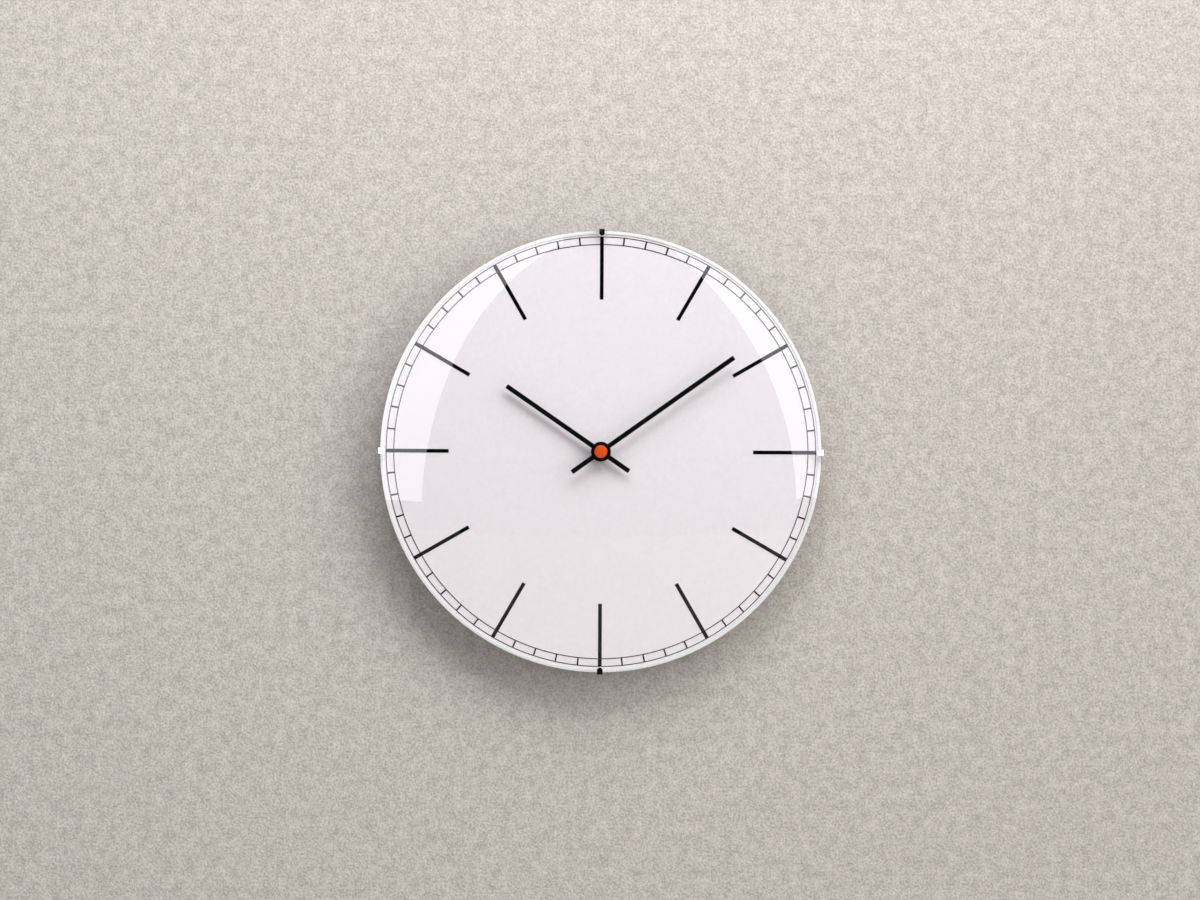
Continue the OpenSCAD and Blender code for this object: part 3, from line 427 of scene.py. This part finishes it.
def make_dome():
    """The domed glass: two spheres about one centre, a ground edge with its arrises taken off, and a
    polished foot, through which the white seal shows."""
    inner_sphere = DOME_RADIUS - GLASS_THICK
    centre = CROWN_LEVEL - DOME_RADIUS
    foot_radius = math.sqrt(inner_sphere ** 2 - (GLASS_LEVEL - centre) ** 2)
    rim = GLASS_RADIUS - GROUND_EDGE
    shares = [i / DOME_RINGS for i in range(DOME_RINGS + 1)]
    outer = [(rim * s, dome_level(rim * s, DOME_RADIUS)) for s in shares]
    edge = [(GLASS_RADIUS, dome_level(GLASS_RADIUS, DOME_RADIUS) - GROUND_EDGE),
            (GLASS_RADIUS, GLASS_LEVEL + GROUND_EDGE / 2),
            (GLASS_RADIUS - GROUND_EDGE / 2, GLASS_LEVEL)]
    inner = [(foot_radius * s, dome_level(foot_radius * s, inner_sphere)) for s in reversed(shares)]
    profile = outer + edge + inner
    first, last = len(outer) - 1, len(outer) + len(edge)
    sharp = range(first, last + 1)
    mesh = revolve("domed_glass", profile, DOME_STEPS, sharp,
                   lambda strip: 1 if first <= strip < last - 1 else 0)
    new_piece("domed_glass", mesh, glass, "root", "glass_dome")
    mesh.materials.append(ground_glass)


make_dome()
eased("minute_hand", "minute_hand_blade", hand_lacquer, "minute", 0.09)
eased("hour_hand", "hour_hand_blade", hand_lacquer, "hour", 0.09)
for hour in ("12", "3", "6", "9"):
    eased("glass_clip_" + hour, "rim_clip_" + hour, polished_strip, "root", 0.12)
eased("front_shell", "movement_front", spark_abs, "root", 0.2)
eased("rear_shell", "movement_back", spark_abs, "root", 0.2)
eased("setting_knob", "hand_setting_knob", rubbed_abs, "setting", 0.12)
eased("bush_nut", "hexagon_nut", turned_brass, "root", 0.15)


# ---- Wall, floor, lamps and camera ----

def panel(name, corners, finish):
    """A flat sheet of the studio. Corners are in metres."""
    mesh = bpy.data.meshes.new(name)
    mesh.from_pydata(corners, [], [list(range(len(corners)))])
    mesh.materials.append(finish)
    made = bpy.data.objects.new(name, mesh)
    scene.collection.objects.link(made)
    return made


# Sand grains and trowel marks in the plaster, by their spacing and depth in millimetres, and how much
# of the pattern the trowel makes.
SAND, TROWEL_MARK, PLASTER_RELIEF = 1.8, 9, 0.6
TROWEL_SHARE = 0.35


def wall_paint():
    """Matt emulsion on sand plaster: pale greige, broken into fine specks by the sand and the trowel.
    From behind it isn't there."""
    made, tree, out = start_finish("matt_wall_emulsion")
    where = add(tree, "ShaderNodeTexCoord").outputs["Object"]
    sand = add(tree, "ShaderNodeTexNoise",
               {"Vector": where, "Scale": repeats(SAND), "Detail": 2.0}).outputs[0]
    trowelled = add(tree, "ShaderNodeTexNoise",
                    {"Vector": where, "Scale": repeats(TROWEL_MARK), "Detail": 3.0}).outputs[0]
    plaster = add(tree, "ShaderNodeMix", {0: TROWEL_SHARE, 2: sand, 3: trowelled}).outputs[0]
    speck = add(tree, "ShaderNodeMapRange",
                {"Value": plaster, "From Min": 0.36, "From Max": 0.64}).outputs[0]
    tone = add(tree, "ShaderNodeMix", {0: speck, 6: hex_colour("#9B958F"), 7: hex_colour("#BFB9B3")},
               data_type="RGBA").outputs[2]
    bump = add(tree, "ShaderNodeBump",
               {"Height": plaster, "Distance": PLASTER_RELIEF * MM, "Strength": 0.9}).outputs[0]
    paint = add(tree, "ShaderNodeBsdfPrincipled",
                {"Base Color": tone, "Roughness": 0.9, "Specular IOR Level": 0.2, "Normal": bump})
    gone = add(tree, "ShaderNodeBsdfTransparent")
    side = add(tree, "ShaderNodeNewGeometry").outputs["Backfacing"]
    mixed = add(tree, "ShaderNodeMixShader", {0: side, 1: paint.outputs[0], 2: gone.outputs[0]})
    tree.links.new(mixed.outputs[0], out.inputs[0])
    return made


# The wall is 0.3 mm clear of the case, 6 m wide, and ends 2 m above the clock. The floor is 10 m square
# and 1.2 m below the clock.
WALL_Y = 0.3 * MM
WALL_SIDE, WALL_TOP = 3, 2
FLOOR_SIDE, FLOOR_Z = 5, -1.2
wall_corners = [(-WALL_SIDE, WALL_Y, FLOOR_Z), (WALL_SIDE, WALL_Y, FLOOR_Z),
                (WALL_SIDE, WALL_Y, WALL_TOP), (-WALL_SIDE, WALL_Y, WALL_TOP)]
wall = panel("wall", wall_corners, wall_paint())
wall.visible_diffuse = False
wall.visible_glossy = False
wall.visible_shadow = False
floor_paint = grained("pale_floor", "#C8C4C0", "#CECAC6", 3.0, 0.1, {"Roughness": 0.8, "IOR": 1.45})
floor_corners = [(-FLOOR_SIDE, -FLOOR_SIDE, FLOOR_Z), (FLOOR_SIDE, -FLOOR_SIDE, FLOOR_Z),
                 (FLOOR_SIDE, FLOOR_SIDE, FLOOR_Z), (-FLOOR_SIDE, FLOOR_SIDE, FLOOR_Z)]
floor = panel("floor", floor_corners, floor_paint)
floor.visible_shadow = False
floor.visible_glossy = False


def light_sheet(strength):
    """The lit face of a soft box, as polished things show it."""
    made, tree, out = start_finish("soft_box_face")
    lit = add(tree, "ShaderNodeEmission", {"Color": hex_colour("#F7F8FF"), "Strength": strength})
    tree.links.new(lit.outputs[0], out.inputs[0])
    made.cycles.emission_sampling = "NONE"
    return made


# The soft boxes stand 1.5 m in front of the wall, and rise out of sight. The inner edge of each is one
# Bezier curve from its sill up, given by its four points as X and Z in metres.
BOX_Y = -1.5
BOX_TOP = 1.9
BOX_GLOW = 3.9
CURVE_POINTS = 24
LEFT_EDGE = ((-0.90, -0.257), (-0.84, 0.31), (-0.64, 0.80), (-0.20, 1.08))
RIGHT_EDGE = ((1.00, -0.235), (0.95, 0.34), (0.68, 0.75), (0.33, 1.08))


def soft_box(name, edge, outside, finish):
    """A soft box that only polished things show. Its far side is straight, at X = outside."""
    knots = [Vector((x, BOX_Y, z)) for x, z in edge]
    inner = [tuple(point) for point in interpolate_bezier(*knots, CURVE_POINTS)]
    sill, shoulder = edge[0][1], edge[-1][0]
    outer = [(shoulder, BOX_Y, BOX_TOP), (outside, BOX_Y, BOX_TOP), (outside, BOX_Y, sill)]
    made = panel(name, inner + outer, finish)
    made.visible_camera = False
    made.visible_diffuse = False
    made.visible_transmission = False
    made.visible_shadow = False


box_face = light_sheet(BOX_GLOW)
soft_box("left_soft_box", LEFT_EDGE, -1.9, box_face)
soft_box("right_soft_box", RIGHT_EDGE, 2.2, box_face)


def lamp(name, place, target, width, height, watts, colour):
    """A soft lamp that lights surfaces and shows in none."""
    data = bpy.data.lights.new(name, "AREA")
    data.shape = "RECTANGLE"
    data.size, data.size_y = width, height
    data.energy = watts
    data.color = hex_colour(colour)[:3]
    made = bpy.data.objects.new(name, data)
    made.location = place
    made.rotation_euler = (Vector(target) - Vector(place)).to_track_quat("-Z", "Y").to_euler()
    made.visible_camera = False
    made.visible_glossy = False
    made.visible_transmission = False
    scene.collection.objects.link(made)


# Two large keys to the right and above, weak fills before the clock, and two lamps for its back. Each
# has its place, what it faces, the width and height of its face in metres, its watts and its colour.
lamp("side_key", (7.1, -3.5, 1.5), (0, 0, 0), 4.6, 4.6, 390, "#FFFDFB")
lamp("upper_key", (4.9, -3.5, 5.4), (0, 0, 0), 4.6, 4.6, 390, "#FFFDFB")
lamp("top_fill", (0.1, -0.7, 1.2), (0, 0, 0.1), 1.1, 0.7, 20, "#FDFDFF")
lamp("left_fill", (-1.5, -1.6, 0.3), (0, 0, 0), 1.0, 1.2, 7, "#FAFAFF")
lamp("front_fill", (0.2, -2.6, 0.6), (0, 0, 0), 1.6, 1.2, 3, "#FAFAFF")
lamp("rear_key", (-1.3, 1.5, 1.2), (0, 0, 0), 1.2, 1.2, 40, "#FFFFFF")
lamp("rear_fill", (1.5, 1.4, 0.0), (0, 0, 0), 1.2, 1.2, 15, "#FFFFFF")


# Levels of the air, where 1 is white: seen by the camera, in the shade of matt things, in metal below
# and overhead, and what a window adds and the dark card leaves there.
SEEN, SHADE = 0.86, 0.19
METAL_BELOW, METAL_OVERHEAD = 0.16, 0.6
WINDOW_GLOW, CARD_LEVEL = 0.9, 0.012
# Where the air in metal starts and stops to brighten, as the height of its direction.
BRIGHTENS_FROM, BRIGHTENS_TO = -0.5, 0.8
# Ways to the middles of the windows, and the angles at which windows and card fade out and are full.
WINDOW_WAYS = ((-0.6, 0.7, 0.35), (0.65, 0.7, 0.0))
WINDOW_FADES, WINDOW_FULL = math.cos(math.radians(36)), math.cos(math.radians(12))
CARD_FADES, CARD_FULL = math.cos(math.radians(52)), math.cos(math.radians(42))


def studio_air():
    """The room around the clock: pale to look at. In metal it is brighter overhead, with two soft
    windows behind the clock, and a dark card hangs about the camera so that the glass stays clear."""
    made = bpy.data.worlds.new("studio")
    made.use_nodes = True
    tree = made.node_tree
    tree.nodes.clear()
    out = add(tree, "ShaderNodeOutputWorld")
    look = add(tree, "ShaderNodeTexCoord").outputs["Generated"]
    up = add(tree, "ShaderNodeSeparateXYZ", {"Vector": look}).outputs["Z"]
    overhead = add(tree, "ShaderNodeMapRange",
                   {"Value": up, "From Min": BRIGHTENS_FROM, "From Max": BRIGHTENS_TO,
                    "To Min": METAL_BELOW, "To Max": METAL_OVERHEAD})
    around = overhead
    for way in WINDOW_WAYS:
        behind = add(tree, "ShaderNodeVectorMath", {0: look, 1: Vector(way).normalized()},
                     operation="DOT_PRODUCT")
        window = add(tree, "ShaderNodeMapRange",
                     {"Value": behind.outputs["Value"], "From Min": WINDOW_FADES,
                      "From Max": WINDOW_FULL, "To Min": 0.0, "To Max": WINDOW_GLOW},
                     interpolation_type="SMOOTHSTEP")
        around = add(tree, "ShaderNodeMath", {0: around.outputs[0], 1: window.outputs[0]},
                     operation="ADD")
    ahead = add(tree, "ShaderNodeVectorMath", {0: look, 1: (0, -1, 0)}, operation="DOT_PRODUCT")
    card = add(tree, "ShaderNodeMapRange",
               {"Value": ahead.outputs["Value"], "From Min": CARD_FADES, "From Max": CARD_FULL,
                "To Min": around.outputs[0], "To Max": CARD_LEVEL})
    path = add(tree, "ShaderNodeLightPath")
    bounces = add(tree, "ShaderNodeMath",
                  {0: path.outputs["Diffuse Depth"], 1: path.outputs["Glossy Depth"]}, operation="ADD")
    direct = add(tree, "ShaderNodeMath", {0: bounces.outputs[0], 1: 0.5}, operation="LESS_THAN")
    through = add(tree, "ShaderNodeMath",
                  {0: path.outputs["Is Transmission Ray"], 1: direct.outputs[0]}, operation="MULTIPLY")
    seen = add(tree, "ShaderNodeMath", {0: path.outputs["Is Camera Ray"], 1: through.outputs[0]},
               operation="MAXIMUM")
    unseen = add(tree, "ShaderNodeMix", {0: path.outputs["Is Glossy Ray"], 2: SHADE, 3: card.outputs[0]})
    level = add(tree, "ShaderNodeMix", {0: seen.outputs[0], 2: unseen.outputs[0], 3: SEEN})
    air = add(tree, "ShaderNodeBackground",
              {"Color": hex_colour("#FAF9FA"), "Strength": level.outputs[0]})
    tree.links.new(air.outputs[0], out.inputs[0])
    scene.world = made


studio_air()

# The camera looks square at the dial from 2 m, and takes in 952 mm at the edge of the glass. The clock
# hangs a hair off the middle of the view, and a hair off level.
CAMERA_REACH = 2.0
VIEW_WIDTH = 0.952
GLASS_EDGE_Y = -26 * MM
SENSOR_WIDTH = 36
AIM_X, AIM_Z = -0.7 * MM, 1.3 * MM
ROLL = math.radians(-0.3)
camera_data = bpy.data.cameras.new("camera")
camera_data.sensor_width = SENSOR_WIDTH
camera_data.lens = SENSOR_WIDTH * CAMERA_REACH / VIEW_WIDTH
camera = bpy.data.objects.new("camera", camera_data)
camera.location = (AIM_X, GLASS_EDGE_Y - CAMERA_REACH, AIM_Z)
camera.rotation_euler = (math.radians(90), ROLL, 0)
scene.collection.objects.link(camera)
scene.camera = camera
